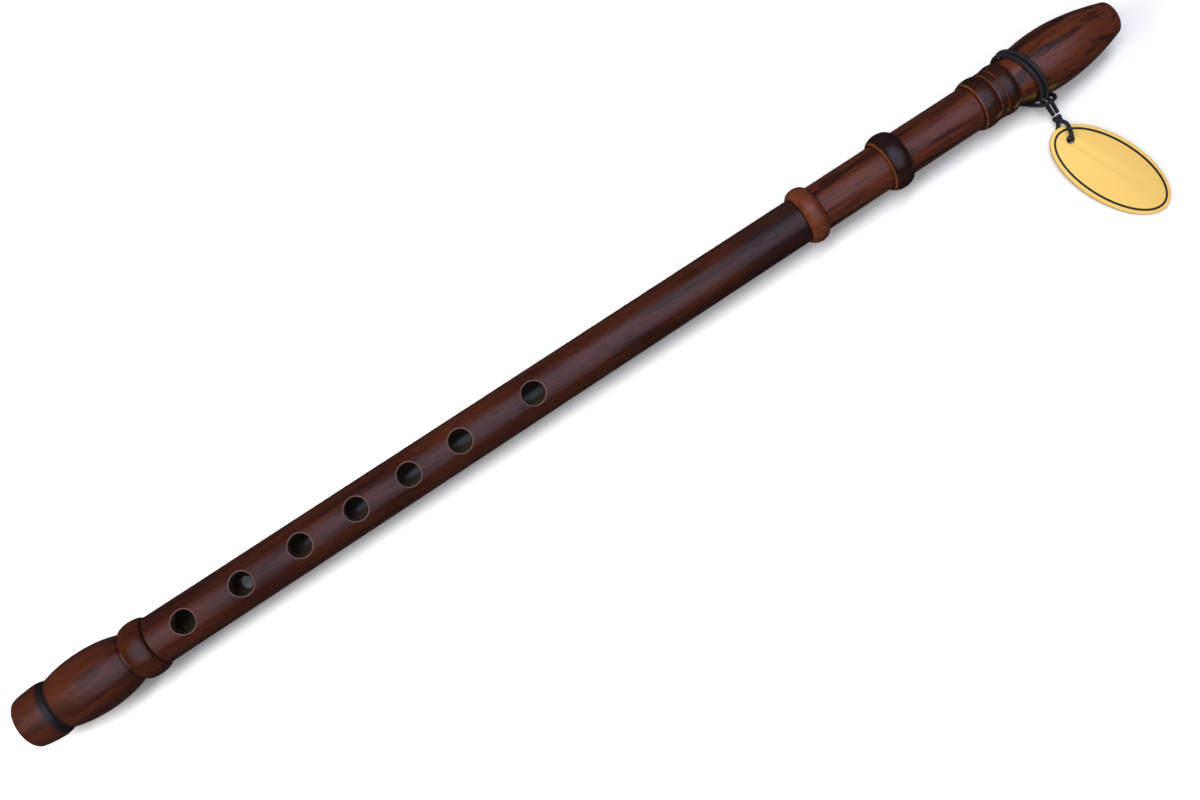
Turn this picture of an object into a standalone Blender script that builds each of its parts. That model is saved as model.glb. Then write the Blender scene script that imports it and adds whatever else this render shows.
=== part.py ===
"""A rim-blown wooden flute in sections, with a name tag on a neck cord.

The bore runs along X, from the foot at the low end to the mouth at the high end. The finger
holes face up and the flute lies on its two bulbs, on the plane z = 0. The origin is under the
middle of the flute. Units are metres, and a station is a distance from the foot's end face.
"""

from math import asin, atan2, ceil, cos, pi, radians, sin, sqrt

import bpy
from mathutils import Vector

# How finely round things are divided
SIDES = 32
HOLE_SIDES = 24
TAG_SIDES = 48
TURN_POINTS = 24
SHARP_ANGLE = radians(30)

# Clearances
FIT = 0.0003

# The bore and the three tenon joints, which are alike
BORE_DIAMETER = 0.0120
TENON_LENGTH = 0.0200
TENON_DIAMETER = 0.0161
TENON_COLLAR = 0.0018
CORK_THICKNESS = 0.0006
SOCKET_CLEARANCE = 0.0007
SOCKET_WALL = 0.0008

# Foot end ring
END_RING_LENGTH = 0.0145
END_RING_CREST = 0.0101
END_RING_DIAMETER = 0.0234
END_RING_CROWN = 0.0012
END_RING_ROUNDING = 0.0020
END_RING_SHOULDER = 0.0010
SPIGOT_LENGTH = 0.0070
SPIGOT_DIAMETER = 0.0172

# Foot bulb and the ring over its socket
FOOT_BULB_DIAMETER = 0.0260
FOOT_BULB_CREST = 0.0155
FOOT_BULB_LENGTH = 0.0323
FOOT_BULB_LOW_END_DROP = 0.00225
FOOT_BULB_HIGH_END_DROP = 0.00285
FOOT_BULB_POWER = 2.2
SEAM_WIDTH = 0.0011
SEAM_DEPTH = 0.00045
FOOT_RING_WIDTH = 0.0098
FOOT_RING_BASE_DIAMETER = 0.0207
FOOT_RING_HEIGHT = 0.00168

# Body tube and its holes, each placed from the tube's lower shoulder
BODY_LENGTH = 0.3037
BODY_FOOT_DIAMETER = 0.02072
BODY_HEAD_DIAMETER = 0.0192
FINGER_HOLE_DIAMETER = 0.0094
FINGER_HOLES = (0.0157, 0.0418, 0.0684, 0.0939, 0.1181, 0.1418, 0.1758)
THUMB_HOLE_DIAMETER = 0.0090
THUMB_HOLE = 0.1584
VENT_HOLE_DIAMETER = 0.0054
VENT_HOLE = 0.0391

# Head tube with its three rings
HEAD_LENGTH = 0.1022
HEAD_FOOT_DIAMETER = 0.0196
HEAD_MOUTH_DIAMETER = 0.01912
JOINT_RING_WIDTH = 0.0080
JOINT_RING_BASE_DIAMETER = 0.0192
JOINT_RING_LIP_DIAMETER = 0.0202
JOINT_RING_HEIGHT = 0.0026
DARK_RING_PLACE = 0.0446
DARK_RING_WIDTH = 0.0094
DARK_RING_BASE_DIAMETER = 0.0195
DARK_RING_LIP_DIAMETER = 0.0208
DARK_RING_HEIGHT = 0.00265

# Double bead ferrule, in the order of its turnings from the foot side
FERRULE_LOW_BEAD_WIDTH = 0.0076
FERRULE_BEAD_BASE_DIAMETER = 0.0199
FERRULE_BEAD_HEIGHT = 0.00117
FERRULE_NOTCH_WIDTH = 0.0002
FERRULE_NOTCH_DIAMETER = 0.0204
FERRULE_BAND_WIDTH = 0.0031
FERRULE_BAND_DIAMETER = 0.02124
FERRULE_HIGH_BEAD_WIDTH = 0.0058
FERRULE_LIP_WIDTH = 0.0004

# Mouthpiece
MOUTHPIECE_LENGTH = 0.0520
MOUTH_BULB_DIAMETER = 0.0260
MOUTH_BULB_CREST = 0.0215
MOUTH_NECK_DROP = 0.00316
MOUTH_RIM_DROP = 0.0055
MOUTH_NECK_POWER = 2.0
MOUTH_RIM_POWER = 1.8
MOUTH_RIM_BEVEL = 0.0004

# Cord: its two turns lie round the neck and cross the crown at these stations
CORD_DIAMETER = 0.0016
TURN_STATIONS = (0.47055, 0.47270)
TURN_LEAN = 0.00245
TURN_DIP = 0.0013

# Tie knot and name tag
KNOT_SIZE = (0.0046, 0.0040, 0.0036)
TAG_LENGTH = 0.0581
TAG_WIDTH = 0.0286
TAG_THICKNESS = 0.0012
TAG_CHAMFER = 0.0002
TAG_HOLE_DIAMETER = 0.0036
TAG_HOLE_ALONG = 0.0212
TAG_HOLE_ASIDE = 0.0021
TAG_HEADING = radians(-62.2)
TAG_TILT = radians(2.3)

# Radii and stations that follow from the sizes above
BORE_RADIUS = BORE_DIAMETER / 2
TENON_RADIUS = TENON_DIAMETER / 2
CORK_SEAT = TENON_RADIUS - CORK_THICKNESS - FIT
SOCKET_RADIUS = TENON_RADIUS + SOCKET_CLEARANCE / 2
SLEEVE_RADIUS = SOCKET_RADIUS + SOCKET_WALL
RING_BORE = SLEEVE_RADIUS + FIT
BULB_START = END_RING_LENGTH + FIT
BULB_END = BULB_START + FOOT_BULB_LENGTH
FOOT_RING_START = BULB_END + SEAM_WIDTH + FIT
FOOT_END = FOOT_RING_START + FOOT_RING_WIDTH
BODY_START = FOOT_END + FIT
BODY_END = BODY_START + BODY_LENGTH
HEAD_START = BODY_END + FIT
HEAD_END = HEAD_START + HEAD_LENGTH
MOUTH_START = HEAD_END + FIT
FLUTE_LENGTH = MOUTH_START + MOUTHPIECE_LENGTH
FERRULE_WIDTH = (FERRULE_LOW_BEAD_WIDTH + FERRULE_NOTCH_WIDTH + FERRULE_BAND_WIDTH
                 + FERRULE_NOTCH_WIDTH + FERRULE_HIGH_BEAD_WIDTH + FERRULE_LIP_WIDTH)
FERRULE_START = HEAD_END - FERRULE_WIDTH
AXIS_HEIGHT = max(FOOT_BULB_DIAMETER, MOUTH_BULB_DIAMETER) / 2 * cos(pi / SIDES)


def millimetres(*values):
    """The values, given in millimetres, in metres."""
    return tuple(value / 1000 for value in values)


# The cord's route where it isn't wound: station from the foot, then y and z, in millimetres.
# Strand one climbs from the knot, crosses under the bight and goes over the neck.
STRAND_ONE = ((480.4, -20.95, 3.2), (479.8, -18.9, 4.3), (478.8, -16.4, 6.0), (477.4, -14.3, 7.8),
              (475.9, -13.15, 10.1), (474.2, -13.15, 12.9))
# The bight comes up behind the neck, lies over both strands, turns back and passes under them.
BIGHT = ((467.9, -5.95, 2.35), (469.4, -8.6, 4.3), (471.2, -10.95, 6.6), (472.6, -12.8, 8.3),
         (473.9, -14.3, 9.7), (476.0, -15.5, 10.8), (478.8, -15.7, 11.0), (481.4, -15.3, 9.9),
         (482.6, -14.2, 8.1), (482.2, -13.0, 6.6), (480.2, -12.25, 5.9), (478.0, -11.95, 5.9),
         (475.9, -11.7, 6.0), (474.0, -11.15, 6.0), (472.0, -8.95, 4.05), (470.2, -6.4, 2.0))
# Strand two comes over the neck and goes down under the bight to the knot.
STRAND_TWO = ((476.6, -13.5, 12.9), (478.5, -13.5, 10.1), (480.1, -14.6, 7.8), (481.3, -16.6, 6.0),
              (482.1, -19.0, 4.3), (482.6, -20.95, 3.2))
# The tag's loop goes under the tag's rim, up through its hole and back over the rim.
TAG_LOOP = ((480.5, -25.85, 1.75), (479.6, -27.3, 1.2), (479.1, -29.2, 0.95), (479.4, -31.3, 0.93),
            (480.3, -32.9, 1.2), (480.95, -33.6, 2.3), (481.1, -33.65, 3.4), (481.3, -32.9, 4.4),
            (481.8, -31.0, 4.9), (482.2, -28.9, 5.0), (482.4, -27.3, 4.9), (482.4, -26.3, 4.3),
            (482.3, -25.6, 3.6))
KNOT_CENTRE = millimetres(481.5, -23.5, 2.2)
TAG_CENTRE = millimetres(488.95, -53.3, 1.80)


def place(station, y, z):
    """A point of the model from its station along the flute."""
    return Vector((station - FLUTE_LENGTH / 2, y, z))


def clear_scene():
    """Remove every object, so that the script can be run again."""
    for thing in list(bpy.data.objects):
        bpy.data.objects.remove(thing, do_unlink=True)


def new_collection(name):
    """A collection of the scene."""
    collection = bpy.data.collections.new(name)
    bpy.context.scene.collection.children.link(collection)
    return collection


def material(name, colour, roughness, metallic=0.0):
    """A plain Principled material."""
    made = bpy.data.materials.new(name)
    made.use_nodes = True
    shader = made.node_tree.nodes["Principled BSDF"]
    shader.inputs["Base Color"].default_value = (*colour, 1.0)
    shader.inputs["Roughness"].default_value = roughness
    shader.inputs["Metallic"].default_value = metallic
    made.diffuse_color = (*colour, 1.0)
    return made


def add_object(name, data, collection, finish=None):
    """An object that holds the data, in its collection and with its material."""
    thing = bpy.data.objects.new(name, data)
    collection.objects.link(thing)
    if finish:
        data.materials.append(finish)
    return thing


def section(name, station, collection):
    """An empty on the bore's axis, whose own Z runs along the bore towards the mouth."""
    empty = add_object(name, None, collection)
    empty.location = place(station, 0, AXIS_HEIGHT)
    empty.rotation_euler = (0, pi / 2, 0)
    empty.empty_display_size = 0.02
    return empty


def turned(name, parent, start, outline, finish, collection):
    """Turn a closed outline of (station, radius) points on the lathe.

    The outline runs along its outer side towards the mouth and back through the bore. Its
    first corner is half a facet off, so that the finished piece lies flat on a facet.
    """
    half_facet = pi / SIDES
    corners = [(radius * cos(half_facet), radius * sin(half_facet), station - start)
               for station, radius in reversed(outline)]
    edges = [(i, (i + 1) % len(corners)) for i in range(len(corners))]
    mesh = bpy.data.meshes.new(name)
    mesh.from_pydata(corners, edges, [])
    piece = add_object(name, mesh, collection, finish)
    piece.parent = parent
    piece.location.z = (start - FLUTE_LENGTH / 2) - parent.location.x
    screw = piece.modifiers.new("turning", "SCREW")
    screw.angle = 2 * pi
    screw.steps = SIDES
    screw.render_steps = SIDES
    screw.use_merge_vertices = True
    screw.merge_threshold = 0.00001
    return piece


def swell(low_end, crest, high_end, radius, low_drop, high_drop, low_power, high_power, steps):
    """Outer points of a bulb: its crest, falling to both ends by a power of the distance."""
    points = []
    for i in range(steps):
        share = 1 - i / steps
        points.append((crest - share * (crest - low_end), radius - low_drop * share ** low_power))
    for i in range(steps + 1):
        share = i / steps
        points.append((crest + share * (high_end - crest), radius - high_drop * share ** high_power))
    return points


def bead(start, width, base_radius, height, lip_radius, steps):
    """Outer points of a half-round bead, cut off where it falls below its lip."""
    lip_angle = asin(min(max((lip_radius - base_radius) / height, 0.0), 0.9))
    half_width = width / 2 / cos(lip_angle)
    points = []
    for i in range(steps + 1):
        angle = pi - lip_angle - (pi - 2 * lip_angle) * i / steps
        points.append((start + width / 2 + half_width * cos(angle), base_radius + height * sin(angle)))
    return points


def tenon(shoulder, towards):
    """Outer points of a tenon from its shoulder to its tip: collar, cork seat, collar."""
    inner = shoulder + towards * TENON_COLLAR
    tip = shoulder + towards * TENON_LENGTH
    outer = tip - towards * TENON_COLLAR
    return [(shoulder, TENON_RADIUS), (inner, TENON_RADIUS), (inner, CORK_SEAT),
            (outer, CORK_SEAT), (outer, TENON_RADIUS), (tip, TENON_RADIUS)]


def tenon_cork(name, parent, shoulder, towards, finish, collection):
    """The cork sleeve between the two collars of a tenon."""
    ends = sorted((shoulder + towards * (TENON_COLLAR + FIT),
                   shoulder + towards * (TENON_LENGTH - TENON_COLLAR - FIT)))
    inside = CORK_SEAT + FIT
    outside = inside + CORK_THICKNESS
    outline = [(ends[0], inside), (ends[0], outside), (ends[1], outside), (ends[1], inside)]
    return turned(name, parent, ends[0], outline, finish, collection)


def foot_end_ring(parent, finish, collection):
    """The rounded ring at the very foot, over the bulb's spigot."""
    crest_radius = END_RING_DIAMETER / 2
    steps = 8
    outline = [(0.0, BORE_RADIUS)]
    for i in range(steps):
        share = (i / steps) ** 2
        drop = END_RING_CROWN * (1 - share) ** 1.5 + END_RING_ROUNDING * (1 - share) ** 16
        outline.append((END_RING_CREST * share, crest_radius - drop))
    for i in range(4):
        share = i / 3
        outline.append((END_RING_CREST + share * (END_RING_LENGTH - END_RING_CREST),
                        crest_radius - END_RING_SHOULDER * share ** 2))
    recess = SPIGOT_DIAMETER / 2 + FIT
    depth = BULB_START - SPIGOT_LENGTH - FIT
    outline += [(END_RING_LENGTH, recess), (depth, recess), (depth, BORE_RADIUS)]
    return turned("foot_end_ring", parent, 0.0, outline, finish, collection)


def foot_bulb(parent, finish, collection):
    """The foot: a spigot for the end ring, the bulb, and the socket's sleeve."""
    radius = FOOT_BULB_DIAMETER / 2
    spigot_end = BULB_START - SPIGOT_LENGTH
    outline = [(spigot_end, BORE_RADIUS), (spigot_end, SPIGOT_DIAMETER / 2),
               (BULB_START, SPIGOT_DIAMETER / 2)]
    outline += swell(BULB_START, BULB_START + FOOT_BULB_CREST, BULB_END, radius,
                     FOOT_BULB_LOW_END_DROP, FOOT_BULB_HIGH_END_DROP, FOOT_BULB_POWER, FOOT_BULB_POWER, 6)
    seam_radius = radius - FOOT_BULB_HIGH_END_DROP - SEAM_DEPTH
    seam_end = FOOT_RING_START - FIT
    socket_floor = FOOT_END - TENON_LENGTH
    outline += [(BULB_END, seam_radius), (seam_end, seam_radius), (seam_end, SLEEVE_RADIUS),
                (FOOT_END, SLEEVE_RADIUS), (FOOT_END, SOCKET_RADIUS), (socket_floor, SOCKET_RADIUS),
                (socket_floor, BORE_RADIUS)]
    return turned("foot_bulb", parent, spigot_end, outline, finish, collection)


def foot_ring(parent, finish, collection):
    """The half-round ring over the foot's socket."""
    base = FOOT_RING_BASE_DIAMETER / 2
    outline = [(FOOT_RING_START, RING_BORE)]
    outline += bead(FOOT_RING_START, FOOT_RING_WIDTH, base, FOOT_RING_HEIGHT, base, 8)
    outline += [(FOOT_END, RING_BORE)]
    return turned("foot_ring", parent, FOOT_RING_START, outline, finish, collection)


def hole_cutter(name, station, side, diameter, collection):
    """A round cutter that goes from the bore out through one wall."""
    reach = BODY_FOOT_DIAMETER
    bpy.ops.mesh.primitive_cylinder_add(vertices=HOLE_SIDES, radius=diameter / 2, depth=reach)
    cutter = bpy.context.object
    cutter.name = name
    for owner in list(cutter.users_collection):
        owner.objects.unlink(cutter)
    collection.objects.link(cutter)
    cutter.location = place(station, 0, AXIS_HEIGHT + side * (reach / 2 + BORE_RADIUS / 4))
    cutter.hide_render = True
    cutter.display_type = "WIRE"
    return cutter


def body_tube(parent, finish, collection, cutters):
    """The long tube with a tenon at each end, seven finger holes, thumb hole and vent hole."""
    lower_tenon = list(reversed(tenon(BODY_START, -1)))
    outline = [(lower_tenon[0][0], BORE_RADIUS)] + lower_tenon
    outline += [(BODY_START, BODY_FOOT_DIAMETER / 2), (BODY_END, BODY_HEAD_DIAMETER / 2)]
    outline += tenon(BODY_END, 1)
    outline += [(outline[-1][0], BORE_RADIUS)]
    piece = turned("body_tube", parent, lower_tenon[0][0], outline, finish, collection)
    holes = [("finger_hole_cutter_%d" % (i + 1), distance, 1, FINGER_HOLE_DIAMETER)
             for i, distance in enumerate(FINGER_HOLES)]
    holes.append(("thumb_hole_cutter", THUMB_HOLE, -1, THUMB_HOLE_DIAMETER))
    holes.append(("vent_hole_cutter", VENT_HOLE, -1, VENT_HOLE_DIAMETER))
    for name, distance, side, diameter in holes:
        cut = piece.modifiers.new(name, "BOOLEAN")
        cut.operation = "DIFFERENCE"
        cut.solver = "EXACT"
        cut.object = hole_cutter(name, BODY_START + distance, side, diameter, cutters)
    return piece


def head_tube(parent, finish, collection):
    """The plain upper tube: a sleeve and a socket at each end, under the joint ring and ferrule."""
    lower_shoulder = HEAD_START + JOINT_RING_WIDTH + FIT
    upper_shoulder = FERRULE_START - FIT
    upper_floor = HEAD_END - TENON_LENGTH
    lower_floor = HEAD_START + TENON_LENGTH
    outline = [(HEAD_START, SOCKET_RADIUS), (HEAD_START, SLEEVE_RADIUS), (lower_shoulder, SLEEVE_RADIUS),
               (lower_shoulder, HEAD_FOOT_DIAMETER / 2), (upper_shoulder, HEAD_MOUTH_DIAMETER / 2),
               (upper_shoulder, SLEEVE_RADIUS), (HEAD_END, SLEEVE_RADIUS), (HEAD_END, SOCKET_RADIUS),
               (upper_floor, SOCKET_RADIUS), (upper_floor, BORE_RADIUS), (lower_floor, BORE_RADIUS),
               (lower_floor, SOCKET_RADIUS)]
    return turned("head_tube", parent, HEAD_START, outline, finish, collection)


def joint_ring(parent, finish, collection):
    """The ring over the head's lower socket."""
    outline = [(HEAD_START, RING_BORE)]
    outline += bead(HEAD_START, JOINT_RING_WIDTH, JOINT_RING_BASE_DIAMETER / 2, JOINT_RING_HEIGHT,
                    JOINT_RING_LIP_DIAMETER / 2, 8)
    outline += [(HEAD_START + JOINT_RING_WIDTH, RING_BORE)]
    return turned("joint_ring", parent, HEAD_START, outline, finish, collection)


def dark_ring(parent, finish, collection):
    """The glossy ring that is slid on to the head tube."""
    start = HEAD_START + DARK_RING_PLACE - DARK_RING_WIDTH / 2
    inside = HEAD_FOOT_DIAMETER / 2 + FIT
    outline = [(start, inside)]
    outline += bead(start, DARK_RING_WIDTH, DARK_RING_BASE_DIAMETER / 2, DARK_RING_HEIGHT,
                    DARK_RING_LIP_DIAMETER / 2, 8)
    outline += [(start + DARK_RING_WIDTH, inside)]
    return turned("dark_ring", parent, start, outline, finish, collection)


def double_bead_ferrule(parent, finish, collection):
    """Two beads with a narrow band between them, over the head's upper socket."""
    base = FERRULE_BEAD_BASE_DIAMETER / 2
    band = FERRULE_BAND_DIAMETER / 2
    notch = FERRULE_NOTCH_DIAMETER / 2
    outline = [(FERRULE_START, RING_BORE)]
    outline += bead(FERRULE_START, FERRULE_LOW_BEAD_WIDTH, base, FERRULE_BEAD_HEIGHT, notch, 6)
    band_start = FERRULE_START + FERRULE_LOW_BEAD_WIDTH + FERRULE_NOTCH_WIDTH
    band_end = band_start + FERRULE_BAND_WIDTH
    outline += [(band_start, band), (band_end, band)]
    high_start = band_end + FERRULE_NOTCH_WIDTH
    outline += bead(high_start, FERRULE_HIGH_BEAD_WIDTH, base, FERRULE_BEAD_HEIGHT, notch, 6)
    outline += [(HEAD_END, notch), (HEAD_END, RING_BORE)]
    return turned("double_bead_ferrule", parent, FERRULE_START, outline, finish, collection)


def neck_radius(station):
    """The mouthpiece's radius between its shoulder and the crest of its bulb."""
    share = (MOUTH_START + MOUTH_BULB_CREST - station) / MOUTH_BULB_CREST
    return MOUTH_BULB_DIAMETER / 2 - MOUTH_NECK_DROP * share ** MOUTH_NECK_POWER


def mouthpiece(parent, finish, collection):
    """The egg-shaped mouth end: tenon, neck, bulb, and the thin rim that is blown across."""
    lower_tenon = list(reversed(tenon(MOUTH_START, -1)))
    outline = [(lower_tenon[0][0], BORE_RADIUS)] + lower_tenon
    rim_station = FLUTE_LENGTH - MOUTH_RIM_BEVEL
    outline += swell(MOUTH_START, MOUTH_START + MOUTH_BULB_CREST, rim_station, MOUTH_BULB_DIAMETER / 2,
                     MOUTH_NECK_DROP, MOUTH_RIM_DROP, MOUTH_NECK_POWER, MOUTH_RIM_POWER, 8)
    outline += [(FLUTE_LENGTH, outline[-1][1] - MOUTH_RIM_BEVEL), (FLUTE_LENGTH, BORE_RADIUS)]
    return turned("mouthpiece", parent, lower_tenon[0][0], outline, finish, collection)


def neck_turn(crown_station, first_angle, last_angle):
    """Points of one turn of the cord round the neck.

    Angles are in steps of a turn, from the crown towards the tag's side. The turn leans
    towards the mouth on that side, and dips towards the foot under the neck.
    """
    step = 2 * pi / TURN_POINTS
    points = []
    for i in range(first_angle, last_angle - 1, -1):
        angle = i * step
        if angle > -pi / 2:
            station = crown_station + TURN_LEAN * sin(angle)
        else:
            station = crown_station - TURN_LEAN - TURN_DIP * cos(angle) ** 2
        radius = (neck_radius(station) + FIT + CORD_DIAMETER / 2) / cos(step / 2)
        points.append(place(station, -radius * sin(angle), AXIS_HEIGHT + radius * cos(angle)))
    return points


def cord_route():
    """The whole neck cord: strand one, its turn, the bight, the other turn and strand two."""
    first = neck_turn(TURN_STATIONS[0], 5, -13)
    second = neck_turn(TURN_STATIONS[1], 5, -13)
    by_hand = [[place(*millimetres(*point)) for point in part] for part in (STRAND_ONE, BIGHT, STRAND_TWO)]
    return by_hand[0] + first + by_hand[1] + second[::-1] + by_hand[2]


def smooth_route(points, spacing):
    """Points a set distance apart, or less, on a smooth curve through the given points."""
    padded = [2 * points[0] - points[1]] + points + [2 * points[-1] - points[-2]]
    route = []
    for before, start, end, after in zip(padded, padded[1:], padded[2:], padded[3:]):
        steps = max(1, ceil((end - start).length / spacing))
        for i in range(steps):
            t = i / steps
            route.append(0.5 * (2 * start + (end - before) * t
                                + (2 * before - 5 * start + 4 * end - after) * t ** 2
                                + (3 * start - before - 3 * end + after) * t ** 3))
    route.append(points[-1])
    return route


def least_gap(route, diameter):
    """The least gap between two lengths of a cord that aren't next to each other."""
    walked = [0.0]
    for a, b in zip(route, route[1:]):
        walked.append(walked[-1] + (b - a).length)
    apart = 3 * diameter
    return min((a - b).length - diameter
               for i, a in enumerate(route) for j, b in enumerate(route[:i])
               if walked[i] - walked[j] > apart)


def tube(name, route, origin, diameter, finish, collection):
    """A cord as a curve with a round bevel and filled caps, with its origin where it turns."""
    curve = bpy.data.curves.new(name, "CURVE")
    curve.dimensions = "3D"
    curve.bevel_depth = diameter / 2
    curve.bevel_resolution = 1
    curve.use_fill_caps = True
    spline = curve.splines.new("POLY")
    spline.points.add(len(route) - 1)
    for point, at in zip(spline.points, route):
        point.co = (*(at - origin), 1.0)
    spline.use_smooth = True
    piece = add_object(name, curve, collection, finish)
    return piece


def neck_cord(parent, finish, collection):
    """The black cord, doubled round the neck and hitched through its own bight."""
    fine = smooth_route(cord_route(), CORD_DIAMETER / 8)
    print("Neck cord: length %.1f mm, least gap to itself %.2f mm" % (
        1000 * sum((b - a).length for a, b in zip(fine, fine[1:])),
        1000 * least_gap(fine, CORD_DIAMETER)))
    piece = tube("cord_neck_hitch", cord_route(), parent.location, CORD_DIAMETER, finish, collection)
    piece.parent = parent
    return piece


def tie_knot(parent, finish, collection):
    """The small round knot that ties both strands, with a groove where the last wrap lies."""
    bpy.ops.mesh.primitive_uv_sphere_add(segments=16, ring_count=10, radius=0.5)
    piece = bpy.context.object
    piece.name = "tie_knot"
    for owner in list(piece.users_collection):
        owner.objects.unlink(piece)
    collection.objects.link(piece)
    groove_depth = 0.12
    for vertex in piece.data.vertices:
        x, y, z = vertex.co
        around = atan2(z, y)
        wrap = cos(2 * pi * (x + 0.12 * sin(around)) / 0.5)
        squeeze = 1 - groove_depth * (1 - wrap) / 2 * sqrt(max(0.0, 1 - 4 * x * x))
        vertex.co = (x * KNOT_SIZE[0], y * squeeze * KNOT_SIZE[1], z * squeeze * KNOT_SIZE[2])
    piece.data.shade_smooth()
    piece.data.materials.append(finish)
    piece.parent = parent
    return piece


def tag_loop(parent, finish, collection):
    """The loop that runs from the knot through the tag's hole."""
    points = [place(*millimetres(*point)) for point in TAG_LOOP]
    piece = tube("tag_loop_cord", points, parent.location, CORD_DIAMETER, finish, collection)
    piece.parent = parent
    return piece


def ellipse(curve, centre, half_length, half_width, sides):
    """Add a closed outline to a flat curve."""
    spline = curve.splines.new("POLY")
    spline.points.add(sides - 1)
    for i, point in enumerate(spline.points):
        angle = 2 * pi * i / sides
        point.co = (centre[0] + half_length * cos(angle), centre[1] + half_width * sin(angle), 0, 1)
    spline.use_cyclic_u = True


def name_tag(parent, finish, collection):
    """The oval tag: its long axis is the curve's X, and the hole is near the low end."""
    curve = bpy.data.curves.new("name_tag", "CURVE")
    curve.dimensions = "2D"
    curve.fill_mode = "BOTH"
    curve.bevel_depth = TAG_CHAMFER
    curve.bevel_resolution = 0
    curve.extrude = TAG_THICKNESS / 2 - TAG_CHAMFER
    curve.offset = -TAG_CHAMFER
    ellipse(curve, (0, 0), TAG_LENGTH / 2, TAG_WIDTH / 2, TAG_SIDES)
    ellipse(curve, (-TAG_HOLE_ALONG, TAG_HOLE_ASIDE), TAG_HOLE_DIAMETER / 2, TAG_HOLE_DIAMETER / 2, 16)
    piece = add_object("name_tag", curve, collection, finish)
    piece.parent = parent
    piece.location = place(*TAG_CENTRE) - place(*KNOT_CENTRE)
    piece.rotation_euler = (0, TAG_TILT, TAG_HEADING)
    return piece


def finish_meshes(collection):
    """Apply the turning and the cuts, and shade round surfaces smooth between sharp corners."""
    depsgraph = bpy.context.evaluated_depsgraph_get()
    for piece in collection.objects:
        if piece.modifiers:
            mesh = bpy.data.meshes.new_from_object(piece.evaluated_get(depsgraph))
            mesh.name = piece.name
            piece.modifiers.clear()
            piece.data = mesh
            mesh.shade_smooth()
            mesh.set_sharp_from_angle(angle=SHARP_ANGLE)


def build():
    """Make the whole flute."""
    clear_scene()
    parts = new_collection("wooden_flute")
    cutters = new_collection("cutters")

    dark_wood = material("dark_wood", (0.055, 0.013, 0.007), 0.35)
    foot_wood = material("foot_wood", (0.045, 0.014, 0.009), 0.40)
    end_wood = material("end_wood", (0.050, 0.022, 0.013), 0.55)
    ring_wood = material("ring_wood", (0.140, 0.035, 0.014), 0.30)
    black_wood = material("black_wood", (0.010, 0.006, 0.006), 0.20)
    cork_tan = material("cork", (0.420, 0.250, 0.120), 0.90)
    black_cord = material("black_cord", (0.010, 0.010, 0.012), 0.60)
    gold = material("gold_plate", (0.900, 0.560, 0.160), 0.35, 1.0)

    foot = section("foot_section", BODY_START, parts)
    body = section("body_section", BODY_START, parts)
    head = section("head_section", HEAD_START, parts)
    mouth = section("mouthpiece_section", MOUTH_START, parts)
    cord = add_object("cord_section", None, parts)
    cord.location = place(sum(TURN_STATIONS) / 2, 0, AXIS_HEIGHT)
    tag = add_object("tag_section", None, parts)
    tag.location = place(*KNOT_CENTRE)

    foot_end_ring(foot, end_wood, parts)
    foot_bulb(foot, foot_wood, parts)
    foot_ring(foot, foot_wood, parts)
    tenon_cork("lower_tenon_cork", body, BODY_START, -1, cork_tan, parts)
    body_tube(body, dark_wood, parts, cutters)
    tenon_cork("upper_tenon_cork", body, BODY_END, 1, cork_tan, parts)
    joint_ring(head, ring_wood, parts)
    head_tube(head, dark_wood, parts)
    dark_ring(head, black_wood, parts)
    double_bead_ferrule(head, dark_wood, parts)
    tenon_cork("mouthpiece_tenon_cork", mouth, MOUTH_START, -1, cork_tan, parts)
    mouthpiece(mouth, dark_wood, parts)
    neck_cord(cord, black_cord, parts)
    tie_knot(tag, black_cord, parts)
    tag_loop(tag, black_cord, parts)
    name_tag(tag, gold, parts)
    finish_meshes(parts)


build()
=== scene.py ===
"""The looks of a wooden end-blown flute: fine turned meshes, stained wood, cord and name tag.

Units are metres. A station is a distance from the foot's end face along the bore, which runs
along X. The flute lies on its two bulbs, with its finger holes up.
"""

from math import asin, ceil, cos, pi, radians, sin, sqrt

import bmesh
import bpy
from bpy.props import FloatProperty, FloatVectorProperty, IntProperty, PointerProperty
from mathutils import Matrix, Vector


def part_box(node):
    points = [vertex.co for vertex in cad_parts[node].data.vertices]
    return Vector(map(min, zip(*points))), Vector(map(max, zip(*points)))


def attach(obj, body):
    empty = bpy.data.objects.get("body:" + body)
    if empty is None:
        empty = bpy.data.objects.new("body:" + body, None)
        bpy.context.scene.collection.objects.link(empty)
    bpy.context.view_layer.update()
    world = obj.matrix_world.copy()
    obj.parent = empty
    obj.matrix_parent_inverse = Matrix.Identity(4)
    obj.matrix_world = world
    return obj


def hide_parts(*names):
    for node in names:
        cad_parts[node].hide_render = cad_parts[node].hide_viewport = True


bl_info = {
    "name": "Wooden Flute",
    "version": (1, 0, 0),
    "blender": (4, 5, 0),
    "location": "3D View > Sidebar > Flute",
    "description": "Dresses the packed model of a wooden flute with fine meshes and materials",
    "category": "Object",
}

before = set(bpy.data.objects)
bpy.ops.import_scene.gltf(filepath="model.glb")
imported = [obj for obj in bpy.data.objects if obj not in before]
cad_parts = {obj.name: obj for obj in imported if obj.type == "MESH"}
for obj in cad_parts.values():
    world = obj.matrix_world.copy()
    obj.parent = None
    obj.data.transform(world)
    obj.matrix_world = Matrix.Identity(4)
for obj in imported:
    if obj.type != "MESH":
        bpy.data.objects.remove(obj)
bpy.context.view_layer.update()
FOOT_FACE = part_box("foot_end_ring")[0][0]


def station_of(node, end):
    """The station of a node's low (0) or high (1) end."""
    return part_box(node)[end][0] - FOOT_FACE


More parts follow.
